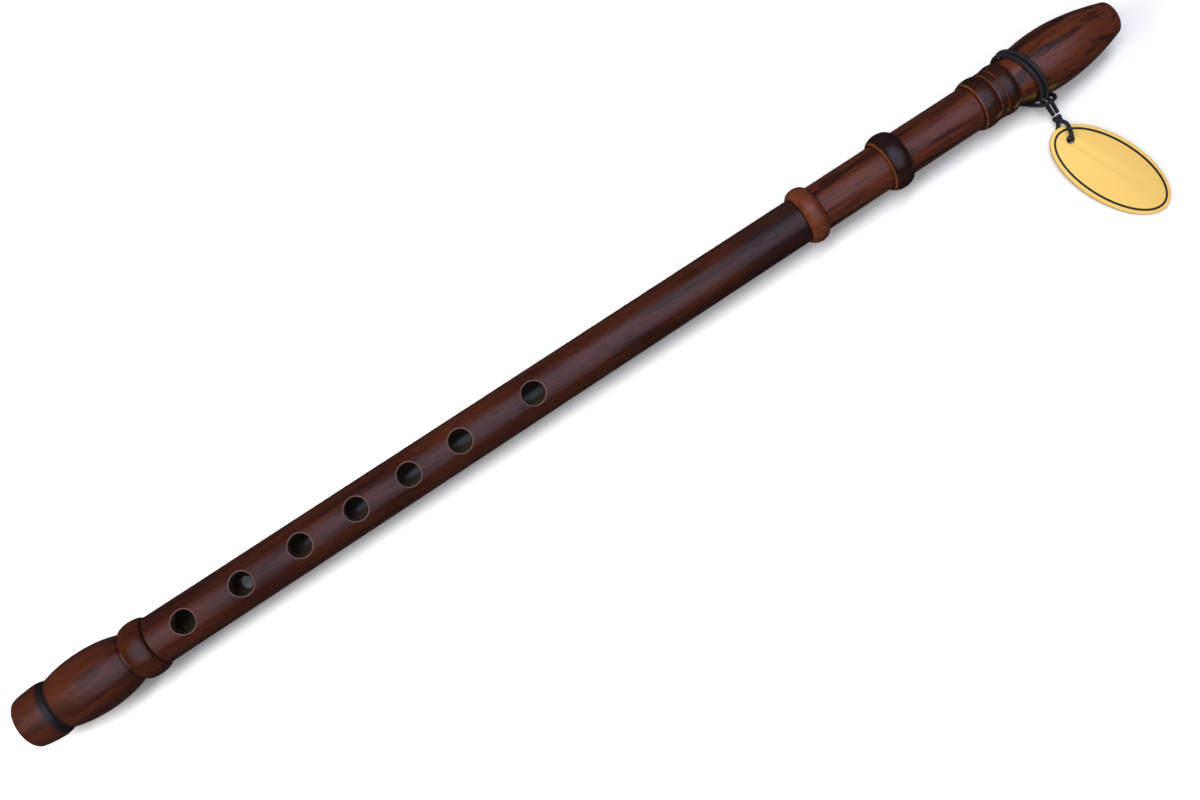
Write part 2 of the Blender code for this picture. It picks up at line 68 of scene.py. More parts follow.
# Stations of the pieces, read from the frame
FIT = 0.0003
FLUTE_LENGTH = station_of("mouthpiece", 1)
AXIS_HEIGHT = sum(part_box("body_tube")[end][2] for end in (0, 1)) / 2
TENON_LENGTH = 0.0200
BULB_START = station_of("foot_end_ring", 1) + FIT
FOOT_END = station_of("foot_ring", 1)
BODY_START = FOOT_END + FIT
HEAD_START = station_of("head_tube", 0)
BODY_END = HEAD_START - FIT
HEAD_END = station_of("head_tube", 1)
MOUTH_START = HEAD_END + FIT

# The hidden joints
BORE_RADIUS = 0.0060
TENON_RADIUS = 0.00805
CORK_SEAT = 0.00715
TENON_COLLAR = 0.0018
SOCKET_RADIUS = 0.0084
SLEEVE_RADIUS = 0.0092
RING_BORE = 0.0095
SPIGOT_LENGTH = 0.0070
SPIGOT_RADIUS = 0.0086

# The outer shapes
EASED_EDGE = 0.0004
END_RING_CREST = 0.0101
END_RING_RADIUS = 0.0117
FOOT_BULB_LENGTH = 0.0323
FOOT_BULB_CREST = 0.0155
BULB_RADIUS = 0.0130
SEAM_RADIUS = 0.0097
BODY_FOOT_RADIUS = 0.01036
BODY_HEAD_RADIUS = 0.0096
BODY_BEVEL = 0.0002
HEAD_LOW_RADIUS = 0.0098
HEAD_HIGH_RADIUS = 0.00956
MOUTH_CREST = 0.0215
MOUTH_NECK_DROP = 0.00316
MOUTH_RIM_DROP = 0.0055
MOUTH_RIM_ROUNDING = 0.0005

# Places along the body tube, from its lower shoulder
FINGER_HOLES = (0.0157, 0.0418, 0.0684, 0.0939, 0.1181, 0.1418, 0.1758)
THUMB_HOLE = 0.1584
VENT_HOLE = 0.0391

# The cord's route: station, y and z in millimetres
STRAND_ONE = ((480.4, -20.95, 3.2), (479.8, -18.9, 4.3), (478.8, -16.4, 6.0), (477.4, -14.3, 7.8),
              (475.9, -13.15, 10.1), (474.2, -13.15, 12.9))
BIGHT = ((467.9, -5.95, 2.35), (469.4, -8.6, 4.3), (471.2, -10.95, 6.6), (472.6, -12.8, 8.3),
         (473.9, -14.3, 9.7), (476.0, -15.5, 10.8), (478.8, -15.7, 11.0), (481.4, -15.3, 9.9),
         (482.6, -14.2, 8.1), (482.2, -13.0, 6.6), (480.2, -12.25, 5.9), (478.0, -11.95, 5.9),
         (475.9, -11.7, 6.0), (474.0, -11.15, 6.0), (472.0, -8.95, 4.05), (470.2, -6.4, 2.0))
STRAND_TWO = ((476.6, -13.5, 12.9), (478.5, -13.5, 10.1), (480.1, -14.6, 7.8), (481.3, -16.6, 6.0),
              (482.1, -19.0, 4.3), (482.6, -20.95, 3.2))
TAG_LOOP = ((480.9, -24.6, 2.1), (480.4, -25.9, 1.75), (479.6, -27.3, 1.2), (479.1, -29.2, 0.95),
            (479.4, -31.3, 0.93), (480.3, -32.9, 1.2), (480.95, -33.6, 2.3), (481.1, -33.65, 3.4),
            (481.3, -32.9, 4.4), (481.8, -31.0, 4.9), (482.2, -28.9, 5.0), (482.4, -27.3, 4.9),
            (482.4, -26.3, 4.3), (482.2, -25.2, 3.2))
KNOT_CENTRE = (481.5, -23.5, 2.2)
TAG_CENTRE = (488.95, -53.3, 1.80)

# The two turns of the cord round the neck, in steps of a 24th of a turn from the crown
TURN_STATIONS = (0.47055, 0.47270)
TURN_LEAN = 0.00245
TURN_DIP = 0.0013
TURN_STEP = 2 * pi / 24
TURN_FIRST, TURN_LAST = 5, -13

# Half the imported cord's thickness, for which the turns are laid
ROUTE_CORD_RADIUS = 0.0008

# The tag
TAG_THICKNESS = 0.0012
TAG_ROUNDING = 0.0003
TAG_HOLE_PLACE = (-0.0212, 0.0021)
TAG_HOLE_RADIUS = 0.0018
TAG_TILT = (0, radians(2.3), radians(-62.2))
TAG_LINE_INSET = 0.00200
TAG_LINE_HALF_WIDTH = 0.00050

# The camera: its roll and tilt, the point that it looks at, its distance and its lens
CAMERA_ROLL = radians(33.283)
CAMERA_TILT = radians(3.06)
CAMERA_AIM = (-0.00335, -0.01656, 0.013)
CAMERA_DISTANCE = 0.4556
CAMERA_LENS = 34.17
CAMERA_SENSOR = 36.0

# Darker stretches of the wood: from, to, how dark and width of the fading
# A dark band where the end ring meets the bulb
FOOT_GROOVE = ((0.0125, 0.0161, 1.6, 0.0006),)
# Painted shade on the body tube below the joint ring
PAINTED_SHADE_STRETCH = ((0.332, 0.3725, 0.45, 0.010),)

# Colours that aren't settings
PORE = (0.006, 0.003, 0.003)
# Colour of the darker stretches: painted shade below the joint ring, and the dark band at the foot
DARK_BAND_AND_SHADE = (0.008, 0.006, 0.007)
NEAR_BLACK = (0.006, 0.0045, 0.005)
# Lighter ring on the rounded rim of each finger hole: painted highlight
HOLE_RIM_HIGHLIGHT = (0.105, 0.060, 0.052)
# The bore's wall: unstained wood with its fibres, made darker than its own colour as painted shade
BORE_DARK = (0.034, 0.024, 0.015)
BORE_LIGHT = (0.080, 0.058, 0.036)

# Name, place, length, width, power and colour of each lamp
LAMPS = (("overhead_softbox", (-0.15, 0.36, 1.15), 1.3, 0.30, 13.0, (0.90, 0.95, 1.0)),
         ("side_softbox", (-1.0, 0.25, 0.70), 0.6, 0.6, 14.0, (1.0, 0.90, 0.80)),
         ("fill", (0.6, -0.9, 0.9), 0.9, 0.9, 3.5, (1.0, 1.0, 1.0)))
FLOOR_SIZE = 6.0
FLOOR_DROP = 0.0001


def place(station, y, z):
    """A point of the model from its station along the flute."""
    return Vector((FOOT_FACE + station, y, z))


def from_millimetres(point):
    """A point of the model from a station, y and z in millimetres."""
    return place(*(value / 1000 for value in point))


class FluteSettings(bpy.types.PropertyGroup):
    """Sizes and colours of the flute that can be changed."""

    sides: IntProperty(name="Sides", description="Faces round a turned piece", default=128, min=32)
    hole_sides: IntProperty(name="Hole Sides", description="Faces round a finger hole", default=64, min=16)
    finger_hole: FloatProperty(name="Finger Hole", description="Diameter of a finger hole",
                               default=0.0094, unit="LENGTH")
    thumb_hole: FloatProperty(name="Thumb Hole", description="Diameter of the thumb hole",
                              default=0.0090, unit="LENGTH")
    vent_hole: FloatProperty(name="Vent Hole", description="Diameter of the vent hole",
                             default=0.0054, unit="LENGTH")
    hole_rounding: FloatProperty(name="Hole Rounding", description="Width of a hole's worn edge",
                                 default=0.0005, unit="LENGTH")
    cord: FloatProperty(name="Cord", description="Diameter of the cord", default=0.00172, unit="LENGTH")
    tag_length: FloatProperty(name="Tag Length", description="Long axis of the tag",
                              default=0.0581, unit="LENGTH")
    tag_width: FloatProperty(name="Tag Width", description="Short axis of the tag",
                             default=0.0286, unit="LENGTH")
    wood: FloatVectorProperty(name="Wood", description="Main colour of the stained wood",
                              subtype="COLOR", default=(0.0325, 0.0073, 0.0035))
    streak: FloatVectorProperty(name="Streak", description="Colour of the dark figure",
                                subtype="COLOR", default=(0.0095, 0.0034, 0.0029))
    glow: FloatVectorProperty(name="Glow", description="Colour of the light figure",
                              subtype="COLOR", default=(0.072, 0.0176, 0.0070))
    # Painted highlight: thin orange lines where the rings' fillets and lips catch the light
    edge_glint: FloatVectorProperty(name="Edge Glint", description="Colour of the thin orange lines",
                                   subtype="COLOR", default=(0.20, 0.058, 0.017))
    gold: FloatVectorProperty(name="Gold", description="Colour of the tag",
                              subtype="COLOR", default=(0.93, 0.61, 0.165))
    cord_black: FloatVectorProperty(name="Cord Black", description="Colour of the cord",
                                    subtype="COLOR", default=(0.012, 0.013, 0.016))


class Value:
    """A socket of a shader, with arithmetic that adds Math nodes."""

    def __init__(self, graph, socket):
        self.graph = graph
        self.socket = socket

    def __add__(self, other):
        return self.graph.math("ADD", self, other)

    def __radd__(self, other):
        return self.graph.math("ADD", other, self)

    def __sub__(self, other):
        return self.graph.math("SUBTRACT", self, other)

    def __rsub__(self, other):
        return self.graph.math("SUBTRACT", other, self)

    def __mul__(self, other):
        return self.graph.math("MULTIPLY", self, other)

    def __rmul__(self, other):
        return self.graph.math("MULTIPLY", other, self)

    def __truediv__(self, other):
        return self.graph.math("DIVIDE", self, other)

    def __rtruediv__(self, other):
        return self.graph.math("DIVIDE", other, self)


class Graph:
    """Adds nodes to a material's or the world's tree."""

    def __init__(self, tree):
        self.tree = tree

    def node(self, kind, settings=None, values=None):
        """A node: its settings first, then the numbers, colours or links of its sockets."""
        made = self.tree.nodes.new(kind)
        for name, setting in (settings or {}).items():
            setattr(made, name, setting)
        for name, value in (values or {}).items():
            socket = made.inputs[name]
            if isinstance(value, Value):
                self.tree.links.new(value.socket, socket)
            elif hasattr(socket.default_value, "__len__") and len(socket.default_value) == 4:
                socket.default_value = (*value, 1.0)
            else:
                socket.default_value = value
        return made

    def out(self, made, name=0):
        """One output of a node, ready for arithmetic."""
        return Value(self, made.outputs[name])

    def math(self, operation, *values):
        """A Math node."""
        made = self.node("ShaderNodeMath", {"operation": operation}, dict(enumerate(values)))
        return self.out(made)

    def step(self, value, low, high):
        """Rises smoothly from 0 to 1 as the value goes from low to high."""
        made = self.node("ShaderNodeMapRange", {"interpolation_type": "SMOOTHSTEP"},
                         {"Value": value, "From Min": low, "From Max": high})
        return self.out(made)

    def mix(self, factor, first, second):
        """A mix of two colours."""
        made = self.node("ShaderNodeMix", {"data_type": "RGBA"}, {0: factor, 6: first, 7: second})
        return self.out(made, 2)

    def position(self):
        """The place on the surface in the object's own frame, as a vector."""
        return self.out(self.node("ShaderNodeTexCoord"), "Object")

    def split(self, vector):
        """The three numbers of a vector."""
        made = self.node("ShaderNodeSeparateXYZ", None, {0: vector})
        return [self.out(made, axis) for axis in range(3)]

    def join(self, x, y, z):
        """A vector of three numbers."""
        return self.out(self.node("ShaderNodeCombineXYZ", None, {0: x, 1: y, 2: z}))

    def noise(self, vector, scale=1.0, detail=2.0, distortion=0.0, roughness=0.5):
        """Noise from about 0 to 1."""
        made = self.node("ShaderNodeTexNoise", None,
                         {"Vector": vector, "Scale": scale, "Detail": detail,
                          "Distortion": distortion, "Roughness": roughness})
        return self.out(made, 0)

    def grain(self, spot, along, across, **settings):
        """Noise with its own scales along and across the bore."""
        x, y, z = spot
        return self.noise(self.join(x * along, y * across, z * across), **settings)

    def bump(self, height, distance, strength=1.0):
        """A normal from a height, whose full range is the distance."""
        made = self.node("ShaderNodeBump", None,
                         {"Strength": strength, "Distance": distance, "Height": height})
        return self.out(made, "Normal")


def new_material(name):
    """A material with its graph and its Principled shader."""
    made = bpy.data.materials.new(name)
    made.use_nodes = True
    shader = made.node_tree.nodes["Principled BSDF"]
    return made, Graph(made.node_tree), shader


def connect(graph, value, shader, name):
    """Link a value to one of the shader's sockets."""
    graph.tree.links.new(value.socket, shader.inputs[name])


def scaled(colour, factor):
    """A colour made lighter or darker."""
    return tuple(part * factor for part in colour)


def wood(name, seed, figure, tone, red, fine=1.0, blackness=0.0, roughness=0.27, lines=(), rim_highlights=(),
         zones=()):
    """Stained and polished wood whose grain runs along the bore.

    figure is how strong the dark streaks are, tone how light the wood is, and red how much of the
    lighter reddish ground shows. fine is how strong the fibres and pores are, and blackness how
    far a black stain hides them. lines lists thin orange lines as (station, width), a painted
    highlight on the rings' fillets and lips. The holes in the front whose rim gets a lighter ring,
    a painted highlight, are listed as (station, radius). zones lists darker stretches as (from,
    to, how dark, width of the fading); the one below the joint ring is painted shade. The bore's
    wall is unstained wood made darker than its own colour, a painted shade.
    """
    settings = bpy.context.scene.flute
    base, streak = scaled(settings.wood, tone), scaled(settings.streak, tone)
    made, graph, shader = new_material(name)
    here = graph.position()
    x, y, z = graph.split(here)
    straight = (x + 0.37 * seed, y, z)
    sway = graph.grain(straight, 9.0, 20.0) - 0.5
    swayed = (straight[0], y + sway * 0.006, z - sway * 0.005)
    broad = graph.grain(swayed, 16.0, 150.0, detail=5.0, distortion=0.9, roughness=0.62)
    veins = graph.grain(swayed, 24.0, 520.0, detail=4.0, distortion=0.4, roughness=0.6)
    fibre = graph.grain(straight, 130.0, 2600.0, detail=3.0, roughness=0.6)
    pores = graph.grain(straight, 260.0, 1700.0, detail=1.0)
    patches = graph.grain(straight, 22.0, 60.0)

    dark_streaks = graph.step(broad, 0.50, 0.66) * figure
    dark_veins = graph.step(veins, 0.52, 0.70) * (0.75 * figure)
    light_ground = graph.step(patches + broad * -0.6, -0.02 - 0.25 * red, 0.34 - 0.12 * red)
    fibre_mask = graph.step(fibre, 0.35, 0.75) * (0.45 * fine)
    pore_mask = graph.step(pores, 0.66, 0.74) * (0.8 * fine)
    ground = graph.mix(light_ground * (0.55 + 0.45 * red), base, scaled(settings.glow, tone))
    ground = graph.mix(graph.math("MINIMUM", dark_streaks, 0.92), ground, streak)
    ground = graph.mix(graph.math("MINIMUM", dark_veins, 0.80), ground, streak)
    ground = graph.mix(fibre_mask, ground, scaled(base, 0.55))
    ground = graph.mix(pore_mask, ground, PORE)
    # Darker stretches: painted shade below the joint ring, and the dark band at the foot
    for start, end, amount, fading in zones:
        low = graph.step(x, FOOT_FACE + start - fading, FOOT_FACE + start + fading)
        high = 1.0 - graph.step(x, FOOT_FACE + end - fading, FOOT_FACE + end + fading)
        ragged = graph.step(broad + patches * 0.6, 0.45, 0.95) * 0.4 + 0.6
        dark = graph.math("MINIMUM", low * high * ragged * amount, 0.95)
        ground = graph.mix(dark, ground, DARK_BAND_AND_SHADE)
    if blackness:
        ground = graph.mix(blackness, ground, NEAR_BLACK)
    # Thin orange lines: a painted highlight on the rings' fillets and lips, broken up by noise
    for station, width in lines:
        distance = graph.math("ABSOLUTE", x - (FOOT_FACE + station))
        glint_patches = graph.step(graph.noise(here, 900.0), 0.3, 0.6) * 0.4 + 0.2
        line = 1.0 - graph.step(distance, width * 0.35, width * 0.65)
        ground = graph.mix(line * glint_patches, ground, tuple(settings.edge_glint))
    # A lighter ring on the rim of each front hole: painted highlight on its rounded edge
    for station, radius in rim_highlights:
        side = x - (FOOT_FACE + station)
        reach = graph.math("SQRT", side * side + y * y)
        outer = 1.0 - graph.step(reach, radius + 0.0004, radius + 0.0007)
        band = graph.step(reach, radius, radius + 0.0001) * outer
        ground = graph.mix(band * 0.75, ground, HOLE_RIM_HIGHLIGHT)
    # Inside the bore: fibred wood, darkened as painted shade
    rise = z - AXIS_HEIGHT
    from_axis = graph.math("SQRT", y * y + rise * rise)
    inside = 1.0 - graph.step(from_axis, BORE_RADIUS + 0.0004, BORE_RADIUS + 0.0009)
    ground = graph.mix(inside, ground, graph.mix(fibre, BORE_DARK, BORE_LIGHT))

    gloss = graph.step(broad, 0.3, 0.8) * 0.10 + (roughness - 0.03) + pore_mask * 0.25
    relief = veins * 0.3 + fibre * 0.5 - pore_mask * 1.2
    connect(graph, ground, shader, "Base Color")
    connect(graph, gloss, shader, "Roughness")
    connect(graph, graph.bump(relief, 0.00005, 0.55), shader, "Normal")
    shader.inputs["Specular IOR Level"].default_value = 0.42
    shader.inputs["Coat Weight"].default_value = 0.25
    shader.inputs["Coat Roughness"].default_value = 0.12
    return made


def cork_material():
    """Natural cork: pale, with small dark pits."""
    made, graph, shader = new_material("natural_cork")
    here = graph.position()
    grain = graph.noise(here, 900.0, detail=5.0, distortion=0.3)
    pits = graph.step(graph.noise(here, 1700.0), 0.60, 0.70)
    colour = graph.mix(grain, (0.30, 0.17, 0.075), (0.62, 0.42, 0.22))
    connect(graph, graph.mix(pits, colour, (0.10, 0.05, 0.02)), shader, "Base Color")
    connect(graph, graph.bump(grain - pits, 0.0001, 0.6), shader, "Normal")
    shader.inputs["Roughness"].default_value = 0.85
    return made


def cord_material():
    """Black waxed cord: dark fibres with greyer crests where the wax has rubbed off."""
    made, graph, shader = new_material("waxed_black_cord")
    along, around, _ = graph.split(graph.out(graph.node("ShaderNodeUVMap"), "UV"))
    fibres = graph.noise(graph.join(along * 60.0, around * 34.0, 0.0), detail=3.0, distortion=0.5)
    wear = graph.noise(graph.position(), 420.0, detail=3.0)
    crest = graph.step(fibres, 0.5, 0.8) * graph.step(wear, 0.35, 0.7)
    black = tuple(bpy.context.scene.flute.cord_black)
    connect(graph, graph.mix(crest * 0.6, black, (0.060, 0.064, 0.075)), shader, "Base Color")
    connect(graph, crest * -0.12 + 0.56, shader, "Roughness")
    connect(graph, graph.bump(fibres, 0.00006, 0.7), shader, "Normal")
    shader.inputs["Specular IOR Level"].default_value = 0.5
    return made


def gold_material(half_length, half_width):
    """Brushed gold plate with a thin black border line and a darker rounded rim."""
    made, graph, shader = new_material("gold_tag_plate")
    here = graph.position()
    x, y, z = graph.split(here)
    a, b = half_length - TAG_LINE_INSET, half_width - TAG_LINE_INSET
    level = graph.math("SQRT", (x / a) * (x / a) + (y / b) * (y / b))
    slope_x, slope_y = x / (a * a), y / (b * b)
    slope = graph.math("SQRT", slope_x * slope_x + slope_y * slope_y)
    distance = graph.math("ABSOLUTE", (level - 1.0) * level / graph.math("MAXIMUM", slope, 1.0))
    line = 1.0 - graph.step(distance, TAG_LINE_HALF_WIDTH * 0.8, TAG_LINE_HALF_WIDTH * 1.2)
    border = line * graph.step(z, 0.0003, 0.00035)
    cloud = graph.noise(here, 60.0, detail=3.0)
    brushed = graph.noise(graph.join(x * 90.0, y * 5200.0, 0.0))
    gold = tuple(bpy.context.scene.flute.gold)
    dull_gold = tuple(part * share for part, share in zip(gold, (0.93, 0.84, 0.72)))
    plate = graph.mix(cloud * 0.5, gold, dull_gold)
    plate = graph.mix(graph.step(brushed, 0.4, 0.8) * 0.18, plate, scaled(gold, 0.72))
    side = 1.0 - graph.step(z, 0.0002, 0.0005)
    plate = graph.mix(side * 0.75, plate, (0.42, 0.20, 0.045))
    connect(graph, graph.mix(border, plate, (0.008, 0.007, 0.006)), shader, "Base Color")
    connect(graph, (1.0 - border) * 0.25, shader, "Metallic")
    connect(graph, brushed * 0.10 + 0.34, shader, "Roughness")
    connect(graph, graph.bump(brushed - border * 2.0, 0.00002, 0.4), shader, "Normal")
    return made


def dress(piece, body, material, node):
    """Give a new piece its material and its body, and hide the node that it stands for."""
    piece.data.materials.append(material)
    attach(piece, body)
    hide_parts(node)


def new_piece(name, mesh):
    """A mesh object in the scene."""
    piece = bpy.data.objects.new(name, mesh)
    bpy.context.scene.collection.objects.link(piece)
    return piece


def new_mesh(name, work):
    """A smooth mesh from a bmesh, with its faces turned outwards."""
    bmesh.ops.recalc_face_normals(work, faces=work.faces)
    mesh = bpy.data.meshes.new(name)
    work.to_mesh(mesh)
    work.free()
    mesh.shade_smooth()
    return mesh


def swell(low_end, crest, high_end, drops, powers, steps):
    """Outer points of a bulb: its crest, falling to both ends by a power of the distance."""
    points = []
    for i in range(steps):
        share = 1 - i / steps
        points.append((crest - share * (crest - low_end), BULB_RADIUS - drops[0] * share ** powers[0]))
    for i in range(steps + 1):
        share = i / steps
        points.append((crest + share * (high_end - crest), BULB_RADIUS - drops[1] * share ** powers[1]))
    return points


def bead(start, width, base_radius, height, lip_radius, steps):
    """Outer points of a half-round bead, cut off where it falls below its lip."""
    lip_angle = asin(min(max((lip_radius - base_radius) / height, 0.0), 0.9))
    half_width = width / 2 / cos(lip_angle)
    points = []
    for i in range(steps + 1):
        angle = pi - lip_angle - (pi - 2 * lip_angle) * i / steps
        points.append((start + width / 2 + half_width * cos(angle), base_radius + height * sin(angle)))
    return points


def tenon(shoulder, towards):
    """Outer points of a tenon from its shoulder to its tip: collar, cork seat, collar."""
    inner = shoulder + towards * TENON_COLLAR
    tip = shoulder + towards * TENON_LENGTH
    outer = tip - towards * TENON_COLLAR
    return [(shoulder, TENON_RADIUS), (inner, TENON_RADIUS), (inner, CORK_SEAT),
            (outer, CORK_SEAT), (outer, TENON_RADIUS), (tip, TENON_RADIUS)]


def lathe(name, outline):
    """Spin a closed outline of (station, radius) points round the bore's axis."""
    sides = bpy.context.scene.flute.sides
    work = bmesh.new()
    rings = []
    for i in range(sides):
        angle = 2 * pi * i / sides
        rings.append([work.verts.new(place(station, radius * sin(angle), AXIS_HEIGHT + radius * cos(angle)))
                      for station, radius in outline])
    for ring, following in zip(rings, rings[1:] + rings[:1]):
        for j in range(len(outline)):
            k = (j + 1) % len(outline)
            work.faces.new((ring[j], following[j], following[k], ring[k]))
    mesh = new_mesh(name, work)
    mesh.set_sharp_from_angle(angle=radians(32))
    return new_piece(name, mesh)


def turned_ring(name, start, end, points, bore):
    """A turned ring from its outer points and its bore."""
    return lathe(name, [(start, bore)] + points + [(end, bore)])


def hole_cutter(station, side, diameter, surface):
    """A cutter for one hole, whose rim follows the tube and rounds over its edge."""
    settings = bpy.context.scene.flute
    rounding, count = settings.hole_rounding, settings.hole_sides
    inner_height, lift, arc_steps = 0.0015, 0.0006, 4
    steps = [(0.0, None)]
    for i in range(arc_steps + 1):
        angle = pi / 2 * i / arc_steps
        steps.append((rounding * (1 - cos(angle)), rounding * (1 - sin(angle))))
    steps.append((rounding * 1.6, -lift))
    work = bmesh.new()
    rings = []
    for out, depth in steps:
        ring = []
        for i in range(count):
            angle = 2 * pi * i / count
            reach = diameter / 2 + out
            dx, dy = reach * cos(angle), reach * sin(angle)
            height = inner_height if depth is None else sqrt(surface ** 2 - dy ** 2) - depth
            ring.append(work.verts.new(place(station + dx, dy, AXIS_HEIGHT + side * height)))
        rings.append(ring)
    for lower, upper in zip(rings, rings[1:]):
        for j in range(count):
            k = (j + 1) % count
            work.faces.new((lower[j], lower[k], upper[k], upper[j]))
    work.faces.new(rings[0])
    work.faces.new(rings[-1])
    return new_piece("hole_cutter", new_mesh("hole_cutter", work))


def cut_holes(piece, cutters):
    """Cut the holes into a piece, and leave it as one plain mesh."""
    for cutter in cutters:
        modifier = piece.modifiers.new("hole", "BOOLEAN")
        modifier.operation = "DIFFERENCE"
        modifier.solver = "EXACT"
        modifier.object = cutter
    depsgraph = bpy.context.evaluated_depsgraph_get()
    mesh = bpy.data.meshes.new_from_object(piece.evaluated_get(depsgraph))
    piece.modifiers.clear()
    piece.data = mesh
    for cutter in cutters:
        bpy.data.objects.remove(cutter, do_unlink=True)
    mesh.shade_smooth()
    mesh.set_sharp_from_angle(angle=radians(38))


def smooth_route(points, spacing):
    """Points a set distance apart, or less, on a smooth curve through the given points."""
    padded = [2 * points[0] - points[1]] + points + [2 * points[-1] - points[-2]]
    route = []
    for before, start, end, after in zip(padded, padded[1:], padded[2:], padded[3:]):
        steps = max(1, ceil((end - start).length / spacing))
        for i in range(steps):
            t = i / steps
            route.append(0.5 * (2 * start + (end - before) * t
                                + (2 * before - 5 * start + 4 * end - after) * t ** 2
                                + (3 * start - before - 3 * end + after) * t ** 3))
    route.append(points[-1])
    return route


def route_length(route):
    """The length along a route."""
    return sum((b - a).length for a, b in zip(route, route[1:]))


def neck_radius(station):
    """The mouthpiece's radius between its shoulder and the crest of its bulb."""
    share = (MOUTH_START + MOUTH_CREST - station) / MOUTH_CREST
    return BULB_RADIUS - MOUTH_NECK_DROP * share ** 2


def neck_turn(crown_station):
    """Points of one turn of the cord round the neck, from the crown's side by the tag."""
    points = []
    for i in range(TURN_FIRST, TURN_LAST - 1, -1):
        angle = i * TURN_STEP
        if angle > -pi / 2:
            station = crown_station + TURN_LEAN * sin(angle)
        else:
            station = crown_station - TURN_LEAN - TURN_DIP * cos(angle) ** 2
        radius = (neck_radius(station) + FIT + ROUTE_CORD_RADIUS) / cos(TURN_STEP / 2)
        points.append(place(station, -radius * sin(angle), AXIS_HEIGHT + radius * cos(angle)))
    return points


def cord_route():
    """The whole neck cord: strand one, its turn, the bight, the other turn and strand two."""
    first, second = (neck_turn(station) for station in TURN_STATIONS)
    one, bight, two = ([from_millimetres(point) for point in part]
                       for part in (STRAND_ONE, BIGHT, STRAND_TWO))
    return one + first + bight + second[::-1] + two


def knot_route():
    """The centre line of the knot: a small overhand knot, drawn tight."""
    centre = from_millimetres(KNOT_CENTRE)
    count, spacing = 40, 0.00018
    width, depth, height, lift = 0.00052, 0.00044, 0.00062, 0.0003
    points = []
    for i in range(count):
        t = 2 * pi * i / count
        x = sin(t) + 2 * sin(2 * t)
        y = cos(t) - 2 * cos(2 * t)
        z = -sin(3 * t)
        points.append(centre + Vector((width * x, depth * y, height * z + lift)))
    return smooth_route(points, spacing)


def braided_tube(name, route, diameter):
    """A braided cord along a route: a tube whose skin rises where two strands cross."""
    sides, plait, relief, mean_rise = 24, 0.0021, 0.07, 0.85
    work = bmesh.new()
    grid = work.loops.layers.uv.new("cord")
    tangent = (route[1] - route[0]).normalized()
    up = tangent.orthogonal().normalized()
    rings, walked = [], 0.0
    for i, centre in enumerate(route):
        ahead = route[min(i + 1, len(route) - 1)] - route[max(i - 1, 0)]
        turned = ahead.normalized()
        up = (tangent.rotation_difference(turned) @ up).normalized()
        tangent = turned
        side = tangent.cross(up)
        if i:
            walked += (centre - route[i - 1]).length
        phase = 2 * pi * walked / plait
        ring = []
        for j in range(sides):
            angle = 2 * pi * j / sides
            crossing = max(abs(sin(2 * angle + phase)), abs(sin(2 * angle - phase)))
            radius = diameter / 2 * (1 + relief * (crossing - mean_rise))
            ring.append(work.verts.new(centre + radius * (cos(angle) * up + sin(angle) * side)))
        rings.append((ring, walked))
    for (lower, low_walk), (upper, high_walk) in zip(rings, rings[1:]):
        for j in range(sides):
            k = (j + 1) % sides
            face = work.faces.new((lower[j], lower[k], upper[k], upper[j]))
            corners = ((low_walk, j), (low_walk, j + 1), (high_walk, j + 1), (high_walk, j))
            for loop, (length, step) in zip(face.loops, corners):
                loop[grid].uv = (length / diameter, step / sides)
    work.faces.new(rings[0][0][::-1])
    work.faces.new(rings[-1][0])
    return new_piece(name, new_mesh(name, work))


class FluteOperator:
    """What the flute's operators share."""

    bl_options = {"REGISTER", "UNDO"}


class FLUTE_OT_camera(FluteOperator, bpy.types.Operator):
    """Add the camera above the flute, turned as the photograph is"""

    bl_idname = "flute.camera"
    bl_label = "Camera"

    def execute(self, context):
        forward = Vector((sin(CAMERA_TILT), 0, -cos(CAMERA_TILT)))
        level = Vector((cos(CAMERA_TILT), 0, sin(CAMERA_TILT)))
        across = Vector((0, 1, 0))
        right = cos(CAMERA_ROLL) * level - sin(CAMERA_ROLL) * across
        up = sin(CAMERA_ROLL) * level + cos(CAMERA_ROLL) * across
        lens = bpy.data.cameras.new("camera")
        lens.sensor_width = CAMERA_SENSOR
        lens.lens = CAMERA_LENS
        lens.clip_start = 0.01
        camera = bpy.data.objects.new("camera", lens)
        context.scene.collection.objects.link(camera)
        turn = Matrix((right, up, -forward)).transposed().to_4x4()
        eye = Vector(CAMERA_AIM) - CAMERA_DISTANCE * forward
        camera.matrix_world = Matrix.Translation(eye) @ turn
        context.scene.camera = camera
        return {"FINISHED"}


class FLUTE_OT_cord(FluteOperator, bpy.types.Operator):
    """Make the braided neck cord, its knot and the tag's loop"""

    bl_idname = "flute.cord"
    bl_label = "Cord, Knot and Tag Loop"

    def execute(self, context):
        diameter = context.scene.flute.cord
        spacing = diameter / 9
        black = cord_material()
        route = smooth_route(cord_route(), spacing)
        cord = braided_tube("neck_cord", route, diameter)
        dress(cord, "cord_loop", black, "cord_neck_hitch")

        loop_route = smooth_route([from_millimetres(point) for point in TAG_LOOP], spacing)
        loop = braided_tube("tag_cord_loop", loop_route, diameter)
        dress(loop, "tag", black, "tag_loop_cord")

        knot = braided_tube("cord_tie_knot", knot_route(), diameter * 0.92)
        dress(knot, "tag", black, "tie_knot")
        route_length(route)
        return {"FINISHED"}


